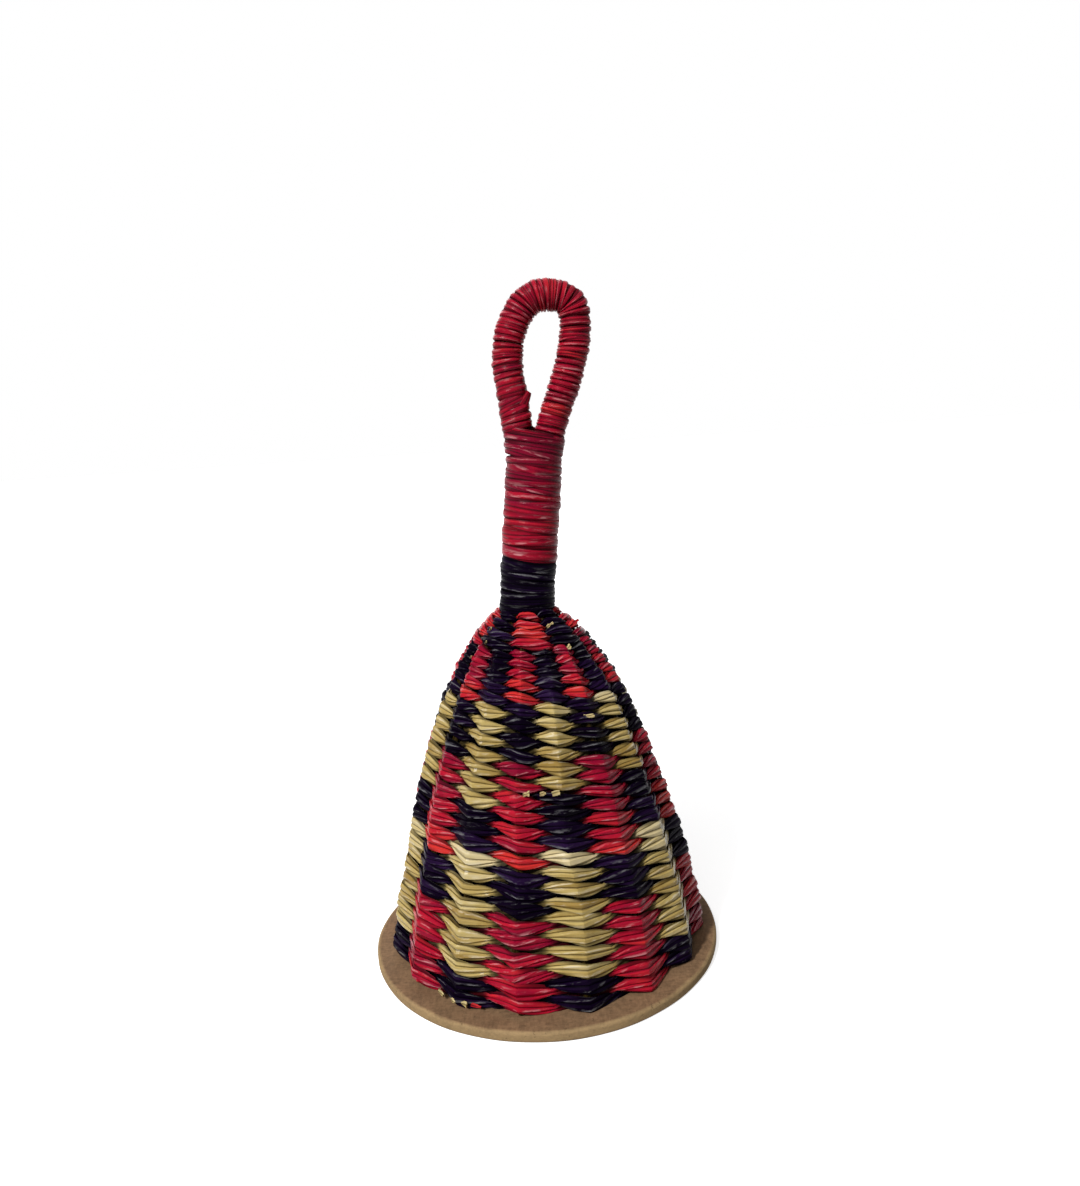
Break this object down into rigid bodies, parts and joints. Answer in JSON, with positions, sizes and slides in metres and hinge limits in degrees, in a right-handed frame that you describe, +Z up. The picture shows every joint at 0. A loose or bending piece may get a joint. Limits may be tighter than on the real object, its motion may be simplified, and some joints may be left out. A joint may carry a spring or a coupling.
{
  "type": "caxixi basket rattle",
  "caption": "Woven rattle: a tapering dome of twined straw on a round board, with loose seeds inside and a wrapped neck that ends in a finger loop.",
  "frame": {"origin": "centre of the base board's underside", "axes": "+Z up along the dome's axis, +X to the side that the handle leans to, -Y towards the front"},
  "size_m": [0.1, 0.1, 0.1864],
  "materials": {
    "fibreboard": "plain brown fibreboard, matt, with a paler worn edge",
    "bare_straw": "undyed dry straw, satin",
    "natural_straw": "undyed twisted straw strand, satin with long fibre creases",
    "dyed_red_straw": "red dyed twisted straw strand, waxy sheen, uneven dye",
    "dyed_purple_straw": "dark purple dyed twisted straw strand, waxy sheen",
    "seed_coat": "brown seed coat, smooth satin"
  },
  "bodies": {
    "rattle": {"base_board": "fibreboard", "stake_01": "bare_straw", "stake_02": "bare_straw", "stake_03": "bare_straw", "stake_04": "bare_straw", "stake_05": "bare_straw", "stake_06": "bare_straw", "stake_07": "bare_straw", "stake_08": "bare_straw", "stake_09": "bare_straw", "stake_10": "bare_straw", "stake_11": "bare_straw", "stake_12": "bare_straw", "stake_13": "bare_straw", "stake_14": "bare_straw", "stake_15": "bare_straw", "stake_16": "bare_straw", "weft_band_01": "dyed_purple_straw", "weft_band_02": "natural_straw", "weft_band_03": "dyed_purple_straw", "weft_band_04": "dyed_red_straw", "weft_band_05": "natural_straw", "weft_band_06": "natural_straw", "weft_band_07": "dyed_red_straw", "weft_band_08": "dyed_purple_straw", "loop_core": "bare_straw", "loop_wrap": "dyed_red_straw", "neck_wrap_purple": "dyed_purple_straw", "neck_wrap_red": "dyed_red_straw"},
    "loose_seed_01": {"seed_01": "seed_coat"},
    "loose_seed_02": {"seed_02": "seed_coat"},
    "loose_seed_03": {"seed_03": "seed_coat"},
    "loose_seed_04": {"seed_04": "seed_coat"},
    "loose_seed_05": {"seed_05": "seed_coat"},
    "loose_seed_06": {"seed_06": "seed_coat"},
    "loose_seed_07": {"seed_07": "seed_coat"},
    "loose_seed_08": {"seed_08": "seed_coat"},
    "loose_seed_09": {"seed_09": "seed_coat"},
    "loose_seed_10": {"seed_10": "seed_coat"},
    "loose_seed_11": {"seed_11": "seed_coat"},
    "loose_seed_12": {"seed_12": "seed_coat"},
    "loose_seed_13": {"seed_13": "seed_coat"},
    "loose_seed_14": {"seed_14": "seed_coat"},
    "loose_seed_15": {"seed_15": "seed_coat"},
    "loose_seed_16": {"seed_16": "seed_coat"}
  },
  "joints": [
    {"name": "seed_01_hop", "type": "slide", "parent": "rattle", "child": "loose_seed_01", "axis": [0, 0, 1], "range_m": [0, 0.082]},
    {"name": "seed_02_hop", "type": "slide", "parent": "rattle", "child": "loose_seed_02", "axis": [0, 0, 1], "range_m": [0, 0.077]},
    {"name": "seed_03_hop", "type": "slide", "parent": "rattle", "child": "loose_seed_03", "axis": [0, 0, 1], "range_m": [0, 0.074]},
    {"name": "seed_04_hop", "type": "slide", "parent": "rattle", "child": "loose_seed_04", "axis": [0, 0, 1], "range_m": [0, 0.068]},
    {"name": "seed_05_hop", "type": "slide", "parent": "rattle", "child": "loose_seed_05", "axis": [0, 0, 1], "range_m": [0, 0.064]},
    {"name": "seed_06_hop", "type": "slide", "parent": "rattle", "child": "loose_seed_06", "axis": [0, 0, 1], "range_m": [0, 0.061]},
    {"name": "seed_07_hop", "type": "slide", "parent": "rattle", "child": "loose_seed_07", "axis": [0, 0, 1], "range_m": [0, 0.058]},
    {"name": "seed_08_hop", "type": "slide", "parent": "rattle", "child": "loose_seed_08", "axis": [0, 0, 1], "range_m": [0, 0.055]},
    {"name": "seed_09_hop", "type": "slide", "parent": "rattle", "child": "loose_seed_09", "axis": [0, 0, 1], "range_m": [0, 0.048]},
    {"name": "seed_10_hop", "type": "slide", "parent": "rattle", "child": "loose_seed_10", "axis": [0, 0, 1], "range_m": [0, 0.045]},
    {"name": "seed_11_hop", "type": "slide", "parent": "rattle", "child": "loose_seed_11", "axis": [0, 0, 1], "range_m": [0, 0.042]},
    {"name": "seed_12_hop", "type": "slide", "parent": "rattle", "child": "loose_seed_12", "axis": [0, 0, 1], "range_m": [0, 0.038]},
    {"name": "seed_13_hop", "type": "slide", "parent": "rattle", "child": "loose_seed_13", "axis": [0, 0, 1], "range_m": [0, 0.035]},
    {"name": "seed_14_hop", "type": "slide", "parent": "rattle", "child": "loose_seed_14", "axis": [0, 0, 1], "range_m": [0, 0.031]},
    {"name": "seed_15_hop", "type": "slide", "parent": "rattle", "child": "loose_seed_15", "axis": [0, 0, 1], "range_m": [0, 0.027]},
    {"name": "seed_16_hop", "type": "slide", "parent": "rattle", "child": "loose_seed_16", "axis": [0, 0, 1], "range_m": [0, 0.024]}
  ]
}
